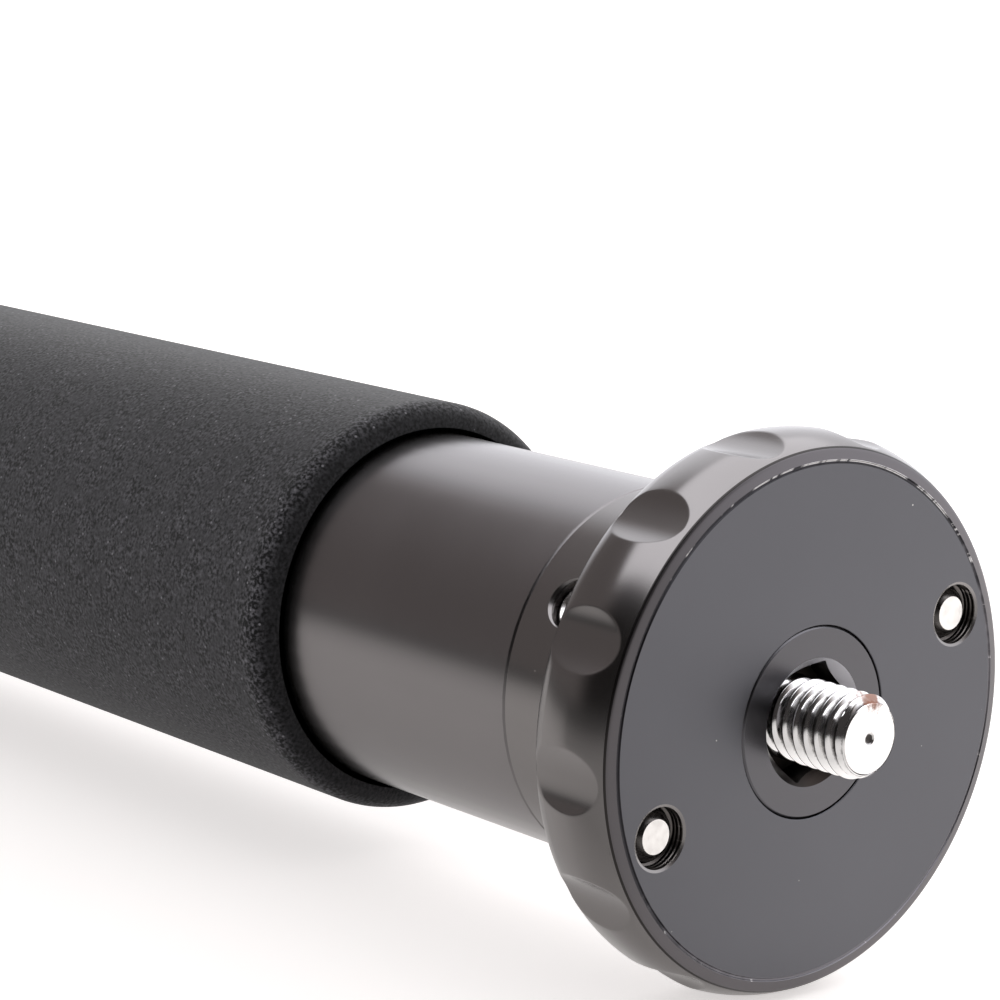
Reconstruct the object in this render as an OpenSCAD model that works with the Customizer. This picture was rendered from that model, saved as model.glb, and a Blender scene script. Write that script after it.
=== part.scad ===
// Camera monopod with four tube sections and twist locks, collapsed and lying along X.
// The origin is the centre of the head plate's face, on the axis of the camera stud.
// +X points out of the face, +Z is up. Lengths are in millimetres.
// Tops, ends and depths are distances behind the face, towards the foot.

/* [Head plate] */
// Diameter of the head plate at the crown of its rim
plate_d = 63.4; // [61:0.2:70]
// Thickness of the head plate
plate_t = 11; // [10:0.5:15]
// Depth of the rim's crown below the face
crown_depth = 5.5; // [4:0.5:6.5]
// Radial drop from the crown to the front edge
crown_front_drop = 1.45; // [0.8:0.05:2]
// Radial drop from the crown to the bevel of the back edge
crown_back_drop = 0.4; // [0.2:0.05:0.8]
// Width of the bevel of the back edge, along the pole
back_bevel_w = 1.5; // [1:0.1:2]
// Radial drop across the bevel of the back edge
back_bevel_drop = 0.8; // [0.6:0.05:1.5]
// Height of the bevel between the flat face and the front edge
face_bevel = 0.3; // [0.2:0.05:0.6]
// Diameter of the ring turned into the face
face_ring_d = 57.6; // [54:0.2:58]
// Width of the turned ring
face_ring_w = 0.4; // [0.2:0.1:0.8]
// Depth of the turned ring
face_ring_depth = 0.2; // [0.1:0.05:0.4]
// Number of finger flutes round the rim
flute_count = 13; // [6:1:16]
// Radius of the cutter that leaves a finger flute
flute_r = 8; // [6:0.5:9]
// Depth of a finger flute at the crown
flute_depth = 1.1; // [0.6:0.1:1.3]
// Length of the plate's collar, from the face to the tube's end
collar_len = 26.1; // [24:0.1:32]
// Length of the spigot inside the upper tube
spigot_len = 19; // [12:1:30]
// Bore through the spigot
spigot_bore_d = 30; // [20:1:34]

/* [Camera stud] */
// Major diameter of the stud, a 3/8 inch camera thread
stud_d = 9.525; // [9.4:0.005:9.6]
// Height of the stud above the face
stud_h = 8.4; // [6:0.1:10]
// Chamfer at the stud's tip
stud_chamfer = 1; // [0.5:0.1:1.4]
// Diameter of the stud's lower shank
shank_d = 6; // [5:0.1:7]
// Width across flats of the stud's hexagonal flange
flange_af = 11.8; // [11.4:0.1:11.9]
// Thickness of the hexagonal flange
flange_t = 4; // [3:0.5:5]
// Depth of the flange's top below the face
flange_depth = 4; // [3:0.5:6]
// Width across flats of the nut under the insert
nut_af = 10; // [9:0.5:11]
// Thickness of that nut
nut_t = 5; // [4:0.5:5.5]

/* [Stud insert] */
// Diameter of the insert
insert_d = 21.6; // [20:0.2:23]
// Length of the insert
insert_len = 24; // [22:0.5:26]
// Width across flats of the insert's hexagonal socket
socket_af = 12; // [12:0.1:12.6]
// Diameter of the round lead-in at the mouth of the socket
socket_mouth_d = 14.4; // [14:0.1:16]
// Diameter of the nut's counterbore
nut_pocket_d = 14; // [13.5:0.5:15]
// Angle of the hexagonal socket about the pole
hex_angle = 16.7; // [0:0.1:30]

/* [Screws] */
// Thread diameter of the head locking screws
lock_screw_d = 6; // [5:0.5:6.5]
// Length of a head locking screw
lock_screw_len = 10; // [8:0.5:10.5]
// Distance of the head locking screws from the axis
lock_screw_offset = 24.2; // [23.5:0.1:24.6]
// Depth of a head locking screw's point below the face
lock_screw_set = 0.7; // [0.7:0.1:1]
// Diameter of the countersink round a head locking screw
countersink_d = 7.5; // [7:0.1:8]
// Thread diameter of the insert's set screws
set_screw_d = 6; // [5:0.5:7]
// Number of set screws that hold the insert
set_screw_count = 3; // [2:1:4]
// Distance of the set screws from the face
set_screw_depth = 19.4; // [18:0.1:20.5]
// Recess of the set screws below the collar's surface
set_screw_recess = 1.6; // [0.5:0.1:2.5]
// Angle of the first head locking screw about the pole
lock_screw_angle = 24.2; // [22:0.1:27]
// Angle of the first set screw about the pole
set_screw_angle = 148.7; // [0:0.1:180]

/* [Tubes] */
// Outside diameter of the upper tube, and of the collar flush with it
tube_1_d = 44.2; // [43.6:0.2:46]
// Outside diameter of the second tube
tube_2_d = 39; // [38.4:0.2:39.4]
// Outside diameter of the third tube
tube_3_d = 34; // [33.4:0.2:34.4]
// Outside diameter of the foot tube
tube_4_d = 29; // [28.4:0.2:29.4]
// Wall of every tube
tube_wall = 1.5; // [1.2:0.05:1.55]
// Distance from the face to the lower end of the upper tube
upper_end = 405; // [380:1:450]
// Distance from the face to the top of the second tube
nest_top = 58; // [52:1:64]
// Step between the tops of the nested tubes
nest_step = 4; // [3:0.5:6]

/* [Foam grip] */
// Outside diameter of the foam grip
grip_d = 51.6; // [49:0.2:56]
// Distance from the face to the grip's upper end
grip_top = 66.8; // [60:0.2:80]
// Length of the foam grip
grip_len = 262; // [150:1:280]
// Radius of the grip's rounded ends
grip_round = 2.8; // [1:0.1:3]

/* [Twist locks] */
// Radial wall of a ferrule over its tube
ferrule_wall = 2.1; // [1.8:0.1:2.6]
// Length of a ferrule on its tube
ferrule_len = 24; // [20:1:30]
// Thickness of the flange at a ferrule's top
ferrule_flange_t = 3; // [2:0.5:4]
// Length of a ferrule's lip beyond its tube
ferrule_lip = 3; // [2:0.5:4]
// Radial wall of a twist collar at its thread
collar_wall = 1.8; // [1.5:0.1:2.4]
// Length of a twist collar below the tube's end
collar_nose = 22; // [21:0.5:26]
// Radial thickness of the rubber round a twist collar
rubber_t = 2.2; // [1.8:0.1:2.8]
// Width of the metal left bare at each end of a twist collar
rubber_inset = 3; // [2:0.5:5]
// Number of grooves in the rubber
rubber_grooves = 24; // [16:1:30]
// Radius of a groove in the rubber
rubber_groove_r = 1.1; // [0.8:0.1:1.3]
// Length of a collet, without its gap to the tube
collet_len = 16; // [14:0.5:17]
// Radial wall of a collet
collet_wall = 1.7; // [1.5:0.1:1.8]
// Rise of a collet's shoulder over its body
collet_rise = 1.1; // [0.8:0.1:1.3]
// Width of a slit in a collet
collet_slit = 1.2; // [0.8:0.1:2]
// Number of slits in a collet
collet_slits = 6; // [4:1:8]
// Radial thickness of a wiper seal
seal_t = 1.5; // [1.2:0.1:1.8]
// Length of a wiper seal
seal_len = 3; // [2:0.5:3.5]
// Length of a guide bush
bush_len = 20; // [14:1:30]
// Gap between one twist collar and the next ferrule
stack_gap = 1; // [0.5:0.5:3]

/* [Foot] */
// Length of the foot tube left bare below the last collar
foot_bare = 3; // [2:0.5:20]
// Length of the foot plug inside the foot tube
plug_len = 20; // [14:1:28]
// Thickness of the plug's rim below the foot tube
plug_rim = 3; // [2:0.5:4]
// Diameter of the spike
spike_d = 7; // [6:0.5:8]
// Length of the spike's cone
spike_cone = 8; // [6:0.5:10]
// Length of the plug's threaded stem
stem_len = 20; // [18:1:24]
// Diameter of the plug's threaded stem
stem_d = 12; // [11:0.5:13]
// Travel of the rubber foot along the stem
foot_travel = 9; // [6:0.5:10]
// Outside diameter of the rubber foot
foot_d = 40; // [36:0.5:44]
// Thickness of the rubber sole
sole_t = 8; // [7:0.5:12]
// Radius of the sole's rounded edge
sole_round = 6; // [3:0.5:8]
// Radial wall of the threaded bush inside the rubber foot
foot_bush_wall = 3; // [2:0.5:4]

/* [Clearances] */
// Radial clearance of pieces that run on each other
run_fit = 0.08; // [0.04:0.01:0.1]
// Radial clearance of pieces that are screwed or bonded
still_fit = 0.03; // [0.02:0.01:0.05]

/* [Hidden] */
$fn = 96;
hex_fn = 6;
over = 1;
arc_steps = 5;

flute_pitch = 360 / flute_count;
lowest = 270;

// Head plate
plate_r = plate_d / 2;
back_r = plate_r - crown_back_drop - back_bevel_drop;
back_chamfer = 0.3;
collar_r = tube_1_d / 2;
seam_chamfer = 0.25;
collar_fillet = 1;
spigot_end = collar_len + spigot_len;
flute_offset = plate_r - flute_depth + flute_r;
front_arc_h = crown_depth - face_bevel;
back_arc_h = plate_t - back_chamfer - back_bevel_w - crown_depth;
front_arc_r = (front_arc_h ^ 2 + crown_front_drop ^ 2) / (2 * crown_front_drop);
back_arc_r = (back_arc_h ^ 2 + crown_back_drop ^ 2) / (2 * crown_back_drop);

// Stud and insert
flange_bottom = flange_depth + flange_t;
nut_recess = 7;
shank_tail = 1;
nut_top = insert_len - nut_recess;
shank_end = nut_top + nut_t + shank_tail;
insert_groove_depth = 0.4;
insert_chamfer = 0.3;
dimple_d = 2.6;

// Screws
lock_screw_end = lock_screw_set + lock_screw_len;
lock_hole_run_out = 1.5;
lock_hole_end = plate_t + lock_hole_run_out;
lock_point_d = 0.7 * lock_screw_d;
key_depth = 4;
key_af = lock_screw_d / 2;
set_key_af = set_screw_d / 2;
set_screw_out = collar_r - set_screw_recess;
set_screw_in = insert_d / 2 - insert_groove_depth;

// Tubes: radii, tops and ends, counted from the head
tube_r = [tube_1_d / 2, tube_2_d / 2, tube_3_d / 2, tube_4_d / 2];
lock_pitch = collar_nose + stack_gap + ferrule_flange_t + ferrule_len;
tube_top = [collar_len, nest_top, nest_top + nest_step, nest_top + 2 * nest_step];
tube_end = [for (i = [0 : 2]) upper_end + i * lock_pitch];
foot_tube_end = tube_end[2] + collar_nose + foot_bare;
bush_cap = 1;

// Foot
foot_gap = 1;
stem_gap = 0.5;
spike_recess = 1;
spike_tip_r = 0.6;
plug_end = foot_tube_end + plug_rim;
foot_top = plug_end + foot_travel + foot_gap;
stem_end = plug_end + stem_len;
sole_top = stem_end + foot_travel + stem_gap;
foot_end = sole_top + sole_t;
spike_end = foot_end - spike_recess;
o_ring_t = 1.6;
o_ring_groove = 0.8;

// Points on an arc from angle a to angle b about (r, z)
function arc(r, z, radius, a, b) =
    [for (i = [0 : arc_steps])
        let (t = a + (b - a) * i / arc_steps)
        [r + radius * cos(t), z + radius * sin(t)]];

// Lays a piece that was drawn along +Z along the pole's axis, +X
module along_pole() {
    rotate([90, 0, 90]) children();
}

// A ring from depth top to depth end, both measured from the face
module ring(top, end, outer_r, inner_r) {
    translate([0, 0, -end])
        difference() {
            cylinder(r = outer_r, h = end - top);
            translate([0, 0, -over]) cylinder(r = inner_r, h = end - top + 2 * over);
        }
}

// A round bar from depth top to depth end
module bar(top, end, r) {
    translate([0, 0, -end]) cylinder(r = r, h = end - top);
}

// A hexagonal bar from depth top to depth end
module hex_bar(top, end, af) {
    translate([0, 0, -end]) cylinder(d = af / cos(30), h = end - top, $fn = hex_fn);
}

// A cone from depth top to depth end
module taper(top, end, top_r, end_r) {
    translate([0, 0, -end]) cylinder(r1 = end_r, r2 = top_r, h = end - top);
}

// Places a child, drawn along +Z from the axis outwards, at each set screw
module set_screw_places() {
    for (i = [0 : set_screw_count - 1])
        rotate(set_screw_angle + i * 360 / set_screw_count)
            translate([0, 0, -set_screw_depth])
                rotate([0, 90, 0]) children();
}

// Turned disc with a crowned rim, the collar flush with the tube, and the spigot inside it
module plate_blank() {
    ring_out = (face_ring_d + face_ring_w) / 2;
    ring_in = (face_ring_d - face_ring_w) / 2;
    bore_r = insert_d / 2 + still_fit;
    spigot_r = tube_r[0] - tube_wall - still_fit;
    rotate_extrude()
        polygon(concat(
            [[bore_r, 0], [ring_in, 0], [ring_in, -face_ring_depth],
             [ring_out, -face_ring_depth], [ring_out, 0]],
            arc(plate_r - front_arc_r, -crown_depth, front_arc_r,
                asin(front_arc_h / front_arc_r), 0),
            [for (p = arc(plate_r - back_arc_r, -crown_depth, back_arc_r,
                          0, -asin(back_arc_h / back_arc_r))) if (p[1] < -crown_depth) p],
            [[back_r, -plate_t + back_chamfer], [back_r - back_chamfer, -plate_t],
             [collar_r + collar_fillet, -plate_t], [collar_r, -plate_t - collar_fillet],
             [collar_r, -collar_len + seam_chamfer], [collar_r - seam_chamfer, -collar_len],
             [spigot_r, -collar_len], [spigot_r, -spigot_end],
             [spigot_bore_d / 2, -spigot_end], [spigot_bore_d / 2, -insert_len - over],
             [bore_r, -insert_len - over]]));
}

// The disc with its finger flutes, the two locking screws' holes and the set screws' holes
module head_plate() {
    color("#6d6c71")
        along_pole()
            difference() {
                plate_blank();
                for (i = [0 : flute_count - 1])
                    rotate(lowest + i * flute_pitch)
                        translate([flute_offset, 0, 0])
                            bar(-over, plate_t + over / 2, flute_r);
                for (side = [0, 180])
                    rotate(lock_screw_angle + side)
                        translate([lock_screw_offset, 0, 0]) {
                            bar(-over, lock_hole_end, lock_screw_d / 2);
                            taper(-over, (countersink_d - lock_screw_d) / 2,
                                  countersink_d / 2 + over, lock_screw_d / 2);
                        }
                set_screw_places()
                    cylinder(d = set_screw_d, h = plate_r);
            }
}

// Turned insert that holds the stud, with a hexagonal socket and a round lead-in
module stud_insert() {
    r = insert_d / 2;
    mouth_depth = (socket_mouth_d - socket_af) / 2;
    color("#6a686c")
        along_pole()
            difference() {
                rotate_extrude()
                    polygon([[0, 0], [r - insert_chamfer, 0], [r, -insert_chamfer],
                             [r, -set_screw_depth + set_screw_d / 2],
                             [set_screw_in, -set_screw_depth + set_screw_d / 2],
                             [set_screw_in, -set_screw_depth - set_screw_d / 2],
                             [r, -set_screw_depth - set_screw_d / 2],
                             [r, -insert_len], [0, -insert_len]]);
                rotate(hex_angle) hex_bar(-over, flange_bottom, socket_af);
                taper(-over, mouth_depth, socket_mouth_d / 2 + over, socket_af / 2);
                bar(0, insert_len + over, shank_d / 2 + still_fit);
                bar(nut_top, insert_len + over, nut_pocket_d / 2);
            }
}

// Threaded stud with a hexagonal flange in the socket and a shank for the nut
module camera_stud() {
    r = stud_d / 2;
    color("#c9c8c6")
        along_pole() {
            difference() {
                union() {
                    rotate_extrude()
                        polygon([[0, stud_h], [r - stud_chamfer, stud_h],
                                 [r, stud_h - stud_chamfer], [r, -flange_depth - over],
                                 [0, -flange_depth - over]]);
                    rotate(hex_angle) hex_bar(flange_depth, flange_bottom, flange_af);
                    bar(flange_bottom - over, shank_end, shank_d / 2);
                }
                taper(-stud_h - over, -stud_h + dimple_d / 2, dimple_d / 2 + over, 0);
            }
        }
}

// Hexagonal nut on the stud's shank
module stud_nut() {
    color("#b8b6b2")
        along_pole()
            difference() {
                rotate(hex_angle) hex_bar(nut_top, nut_top + nut_t, nut_af);
                bar(nut_top - over, nut_top + nut_t + over, shank_d / 2 + still_fit);
            }
}

// Grub screw with a flat point towards the face and a hexagonal socket at its back
module head_lock_screw(side) {
    r = lock_screw_d / 2 - run_fit;
    point_r = lock_point_d / 2;
    color("#e4e1de")
        along_pole()
            rotate(lock_screw_angle + side)
                translate([lock_screw_offset, 0, 0])
                    difference() {
                        rotate_extrude()
                            polygon([[0, -lock_screw_set], [point_r, -lock_screw_set],
                                     [r, -lock_screw_set - (r - point_r)],
                                     [r, -lock_screw_end], [0, -lock_screw_end]]);
                        hex_bar(lock_screw_end - key_depth, lock_screw_end + over, key_af);
                    }
}

module head_lock_screw_a() {
    head_lock_screw(0);
}

module head_lock_screw_b() {
    head_lock_screw(180);
}

// Radial grub screws through the collar, with their points in the insert's groove
module insert_set_screws() {
    color("#e4e1de")
        along_pole()
            set_screw_places()
                difference() {
                    translate([0, 0, set_screw_in])
                        cylinder(r = set_screw_d / 2 - still_fit, h = set_screw_out - set_screw_in);
                    translate([0, 0, set_screw_out - key_depth])
                        cylinder(d = set_key_af / cos(30), h = key_depth + over, $fn = hex_fn);
                }
}

// Plain tube with a chamfered edge at the collar's seam
module upper_tube() {
    r = tube_r[0];
    color("#757370")
        along_pole()
            rotate_extrude()
                polygon([[r - tube_wall, -collar_len], [r - seam_chamfer, -collar_len],
                         [r, -collar_len - seam_chamfer], [r, -upper_end],
                         [r - tube_wall, -upper_end]]);
}

// Foam sleeve with rounded ends, stretched over the upper tube
module foam_grip() {
    outer_r = grip_d / 2;
    grip_end = grip_top + grip_len;
    color("#36353b")
        along_pole()
            rotate_extrude()
                polygon(concat(
                    [[tube_r[0], -grip_top]],
                    arc(outer_r - grip_round, -grip_top - grip_round, grip_round, 90, 0),
                    arc(outer_r - grip_round, -grip_end + grip_round, grip_round, 0, -90),
                    [[tube_r[0], -grip_end]]));
}

// Threaded end fitting bonded over the lower end of a tube
module ferrule(i) {
    end = tube_end[i];
    r = tube_r[i];
    thread_r = r + ferrule_wall;
    flange_r = thread_r + run_fit + collar_wall;
    lip_r = tube_r[i + 1] + run_fit + collet_wall + run_fit;
    color("#3c3b3e")
        along_pole()
            rotate_extrude()
                polygon([[r, -end + ferrule_len + ferrule_flange_t],
                         [flange_r - back_chamfer, -end + ferrule_len + ferrule_flange_t],
                         [flange_r, -end + ferrule_len + ferrule_flange_t - back_chamfer],
                         [flange_r, -end + ferrule_len], [thread_r, -end + ferrule_len],
                         [thread_r, -end - ferrule_lip], [lip_r, -end - ferrule_lip],
                         [lip_r, -end], [r, -end]]);
}

// Split sleeve that the twist collar squeezes onto the next tube
module collet(i) {
    top = tube_end[i] + stack_gap / 2;
    end = top + collet_len;
    inner_r = tube_r[i + 1] + run_fit;
    outer_r = inner_r + collet_wall;
    shoulder = tube_end[i] + ferrule_lip + stack_gap / 4;
    color("#26262a")
        along_pole()
            difference() {
                rotate_extrude()
                    polygon([[inner_r, -top], [outer_r, -top], [outer_r, -shoulder],
                             [outer_r + collet_rise, -shoulder],
                             [outer_r + collet_rise, -shoulder - seal_len],
                             [outer_r - collet_rise / 2, -end + seal_len / 2],
                             [outer_r - collet_rise / 2, -end], [inner_r, -end]]);
                for (k = [0 : collet_slits - 1])
                    rotate((k + 0.5) * 360 / collet_slits)
                        translate([0, -collet_slit / 2, -end - over])
                            cube([outer_r * 2, collet_slit, end - shoulder - seal_len + over]);
            }
}

// Internally threaded collar with a cone that closes the collet
module twist_collar(i) {
    end = tube_end[i];
    top = end - ferrule_len + stack_gap / 2;
    nose = end + collar_nose;
    next_r = tube_r[i + 1];
    thread_r = tube_r[i] + ferrule_wall + run_fit;
    outer_r = thread_r + collar_wall + rubber_t / 2;
    seat_r = thread_r + collar_wall;
    collet_r = next_r + run_fit + collet_wall;
    mouth_r = next_r + 4 * run_fit;
    shoulder = end + ferrule_lip + stack_gap / 4;
    clear = 3 * run_fit;
    seal_top = end + stack_gap / 2 + collet_len + stack_gap / 2;
    seal_r = next_r + run_fit + seal_t;
    color("#3f3e42")
        along_pole()
            rotate_extrude()
                polygon([[thread_r, -top], [outer_r - back_chamfer, -top],
                         [outer_r, -top - back_chamfer],
                         [outer_r, -top - rubber_inset], [seat_r, -top - rubber_inset],
                         [seat_r, -nose + 2 * rubber_inset], [outer_r, -nose + 2 * rubber_inset],
                         [outer_r, -nose + rubber_inset],
                         [next_r + run_fit + seal_t + collar_wall, -nose],
                         [mouth_r, -nose], [mouth_r, -seal_top - seal_len],
                         [seal_r, -seal_top - seal_len], [seal_r, -seal_top],
                         [collet_r - collet_rise / 2 + clear, -seal_top],
                         [collet_r - collet_rise / 2 + clear, -seal_top + seal_len / 2],
                         [collet_r + collet_rise + clear, -shoulder - seal_len],
                         [collet_r + collet_rise + clear, -shoulder],
                         [thread_r, -shoulder]]);
}

// Ribbed rubber sleeve seated in the twist collar's recess
module collar_rubber(i) {
    top = tube_end[i] - ferrule_len + stack_gap / 2 + rubber_inset;
    end = tube_end[i] + collar_nose - 2 * rubber_inset;
    inner_r = tube_r[i] + ferrule_wall + run_fit + collar_wall;
    outer_r = inner_r + rubber_t;
    edge = rubber_t / 4;
    color("#232327")
        along_pole()
            difference() {
                rotate_extrude()
                    polygon([[inner_r, -top], [outer_r - edge, -top], [outer_r, -top - edge],
                             [outer_r, -end + edge], [outer_r - edge, -end], [inner_r, -end]]);
                for (k = [0 : rubber_grooves - 1])
                    rotate(k * 360 / rubber_grooves)
                        translate([outer_r + rubber_groove_r / 4, 0, 0])
                            bar(top + rubber_inset / 2, end - rubber_inset / 2, rubber_groove_r);
            }
}

// Soft ring in the collar's mouth that wipes the next tube
module wiper_seal(i) {
    top = tube_end[i] + stack_gap + collet_len;
    inner_r = tube_r[i + 1] + run_fit;
    color("#1d1d20")
        along_pole() ring(top, top + seal_len, inner_r + seal_t, inner_r);
}

// Plain drawn tube of an inner section
module inner_tube(i, end) {
    color("#6f6d6a")
        along_pole() ring(tube_top[i], end, tube_r[i], tube_r[i] - tube_wall);
}

// Capped bush at an inner tube's top, which runs in the tube around it
module guide_bush(i) {
    top = tube_top[i];
    r = tube_r[i];
    outer_r = tube_r[i - 1] - tube_wall - run_fit;
    color("#d8d6d0")
        along_pole()
            rotate_extrude()
                polygon([[r - tube_wall, -top + bush_cap], [outer_r, -top + bush_cap],
                         [outer_r, -top - bush_len], [r, -top - bush_len],
                         [r, -top], [r - tube_wall, -top]]);
}

// Turned plug bonded in the foot tube, with a threaded stem for the rubber foot
module foot_plug() {
    inner_r = tube_r[3] - tube_wall - still_fit;
    ring_z = plug_end + o_ring_t;
    color("#8b8a8c")
        along_pole()
            difference() {
                union() {
                    bar(foot_tube_end - plug_len, foot_tube_end + over, inner_r);
                    bar(foot_tube_end, plug_end, tube_r[3]);
                    bar(plug_end - over, stem_end, stem_d / 2);
                }
                bar(foot_tube_end - plug_len - over, stem_end + over, spike_d / 2 + still_fit);
                ring(ring_z, ring_z + o_ring_t, stem_d / 2 + over, stem_d / 2 - o_ring_groove);
            }
}

// Steel spike screwed through the plug
module spike() {
    color("#c6c5c4")
        along_pole()
            rotate_extrude()
                polygon([[0, -foot_tube_end + plug_len], [spike_d / 2, -foot_tube_end + plug_len],
                         [spike_d / 2, -spike_end + spike_cone], [spike_tip_r, -spike_end],
                         [0, -spike_end]]);
}

// Rubber ring in the stem's groove
module foot_o_ring() {
    ring_z = plug_end + o_ring_t;
    color("#1b1b1e")
        along_pole()
            ring(ring_z, ring_z + o_ring_t, stem_d / 2 - run_fit, stem_d / 2 - o_ring_groove);
}

// Threaded metal bush moulded into the rubber foot
module foot_bush() {
    color("#b39a5c")
        along_pole()
            ring(foot_top, stem_end, stem_d / 2 + run_fit + foot_bush_wall, stem_d / 2 + run_fit);
}

// Rubber foot with a rounded sole and a hole for the spike
module rubber_foot() {
    r = foot_d / 2;
    bush_r = stem_d / 2 + run_fit + foot_bush_wall;
    hole_r = spike_d / 2 + foot_bush_wall / 4;
    top_r = tube_r[3];
    color("#222226")
        along_pole()
            rotate_extrude()
                polygon(concat(
                    [[bush_r, -foot_top], [top_r - over, -foot_top], [top_r, -foot_top - over]],
                    [[r, -stem_end + sole_round]],
                    arc(r - sole_round, -foot_end + sole_round, sole_round, 0, -90),
                    [[hole_r, -foot_end], [hole_r, -sole_top], [bush_r, -sole_top]]));
}

head_plate();
stud_insert();
camera_stud();
stud_nut();
head_lock_screw_a();
head_lock_screw_b();
insert_set_screws();
upper_tube();
foam_grip();
ferrule(0);  // ferrule_1
collet(0);  // collet_1
twist_collar(0);  // twist_collar_1
collar_rubber(0);  // collar_rubber_1
wiper_seal(0);  // wiper_seal_1
inner_tube(1, tube_end[1]);  // second_tube
guide_bush(1);  // guide_bush_2
ferrule(1);  // ferrule_2
collet(1);  // collet_2
twist_collar(1);  // twist_collar_2
collar_rubber(1);  // collar_rubber_2
wiper_seal(1);  // wiper_seal_2
inner_tube(2, tube_end[2]);  // third_tube
guide_bush(2);  // guide_bush_3
ferrule(2);  // ferrule_3
collet(2);  // collet_3
twist_collar(2);  // twist_collar_3
collar_rubber(2);  // collar_rubber_3
wiper_seal(2);  // wiper_seal_3
inner_tube(3, foot_tube_end);  // foot_tube
guide_bush(3);  // guide_bush_4
foot_plug();
spike();
foot_o_ring();
foot_bush();
rubber_foot();
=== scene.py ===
import math

import bmesh
import bpy
import numpy as np
from mathutils import Matrix, Quaternion, Vector


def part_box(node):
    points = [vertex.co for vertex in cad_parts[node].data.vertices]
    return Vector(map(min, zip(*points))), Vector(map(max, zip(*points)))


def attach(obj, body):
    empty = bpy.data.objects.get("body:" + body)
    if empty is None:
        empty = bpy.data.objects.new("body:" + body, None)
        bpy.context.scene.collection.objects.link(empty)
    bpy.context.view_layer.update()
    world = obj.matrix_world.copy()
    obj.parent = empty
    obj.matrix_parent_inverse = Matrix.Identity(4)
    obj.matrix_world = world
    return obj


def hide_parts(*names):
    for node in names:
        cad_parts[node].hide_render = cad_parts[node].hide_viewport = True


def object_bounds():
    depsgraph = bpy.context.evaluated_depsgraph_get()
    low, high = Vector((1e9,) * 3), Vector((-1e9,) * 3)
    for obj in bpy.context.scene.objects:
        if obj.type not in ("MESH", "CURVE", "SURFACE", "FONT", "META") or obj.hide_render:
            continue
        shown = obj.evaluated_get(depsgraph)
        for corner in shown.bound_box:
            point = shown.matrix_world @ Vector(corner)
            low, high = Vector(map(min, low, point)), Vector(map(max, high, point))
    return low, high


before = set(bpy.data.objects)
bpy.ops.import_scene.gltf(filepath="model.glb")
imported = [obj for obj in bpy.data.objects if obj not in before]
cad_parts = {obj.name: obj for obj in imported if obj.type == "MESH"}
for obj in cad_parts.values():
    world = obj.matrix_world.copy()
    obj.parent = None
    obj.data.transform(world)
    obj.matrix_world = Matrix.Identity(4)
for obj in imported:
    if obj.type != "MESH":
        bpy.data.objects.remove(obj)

cad_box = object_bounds()
scene = bpy.context.scene
scene.view_settings.view_transform = "Standard"
MM = 0.001


# Camera
# It stands close to the head end, right of the pole and above it, and looks back along the pole.
# The lens and the place come from the circles of the head plate as the photograph shows them.
camera_place = Vector((236.2, -251.49, 81.39)) * MM
camera_target = Vector((-24.5, -25.5, 22.51)) * MM
camera_roll = math.radians(-2.905)
camera_data = bpy.data.cameras.new("camera")
camera_data.lens = 116.275
camera_data.sensor_width = 36.0
camera_data.clip_start = 1.0 * MM
camera = bpy.data.objects.new("camera", camera_data)
camera.location = camera_place
camera.rotation_mode = "QUATERNION"
level = (camera_target - camera_place).to_track_quat("-Z", "Y")
camera.rotation_quaternion = level @ Quaternion((0, 0, 1), -camera_roll)
scene.collection.objects.link(camera)
scene.camera = camera


# Head plate
# One turned piece of aluminium: a disc with a crowned rim, the collar that runs flush into the tube
# and the spigot inside it. Thirteen finger flutes are milled into the rim, and the whole is bead
# blasted on its face, satin turned on its rim, and anodised grey.
plate_r = 31.7
plate_t = 11.0
crown_depth = 5.5
front_drop, back_drop = 1.45, 0.4
back_bevel_w, back_chamfer = 1.5, 0.3
bevel_tilt = np.radians(np.linspace(15, 27, 18))
face_bevel = 0.3
ring_r, ring_w, ring_depth = 28.8, 0.4, 0.15
collar_r, collar_len = 22.1, 26.1
spigot_r, spigot_end, spigot_bore_r = 20.57, 45.1, 15.0
insert_bore_r, insert_bore_end = 10.83, 25.0
flute_count, flute_r, flute_depth = 13, 8.0, 1.1
flute_pitch, lowest = 2 * np.pi / flute_count, math.radians(270)
flute_edge = 0.14
lock_offset, lock_angle = 24.2, 24.2
set_depth, set_angle, set_count = 19.4, 148.7, 3


def rounded(corners, closed=True, step=math.radians(12)):
    """Outline through corners (x, r, radius): each corner with a radius becomes an arc tangent to both
    of its edges, with one more point on each edge, a third of the radius before and after the arc."""
    points = []
    count = len(corners)
    for i, (x, r, radius) in enumerate(corners):
        here = np.array([x, r])
        if radius == 0 or (not closed and i in (0, count - 1)):
            points.append(here)
            continue
        before = np.array(corners[i - 1][:2]) - here
        after = np.array(corners[(i + 1) % count][:2]) - here
        before, after = before / np.linalg.norm(before), after / np.linalg.norm(after)
        turn = math.pi - math.acos(np.clip(before @ after, -1, 1))
        reach = radius * math.tan(turn / 2)
        middle = before + after
        centre = here + middle / np.linalg.norm(middle) * radius / math.cos(turn / 2)
        start, end = here + before * reach - centre, here + after * reach - centre
        steps = max(2, math.ceil(turn / step))
        share = np.linspace(0, turn, steps + 1)[:, None]
        points.append(here + before * (reach + radius / 3))
        points.extend(centre + (np.sin(turn - share) * start + np.sin(share) * end) / math.sin(turn))
        points.append(here + after * (reach + radius / 3))
    return np.array(points)


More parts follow.
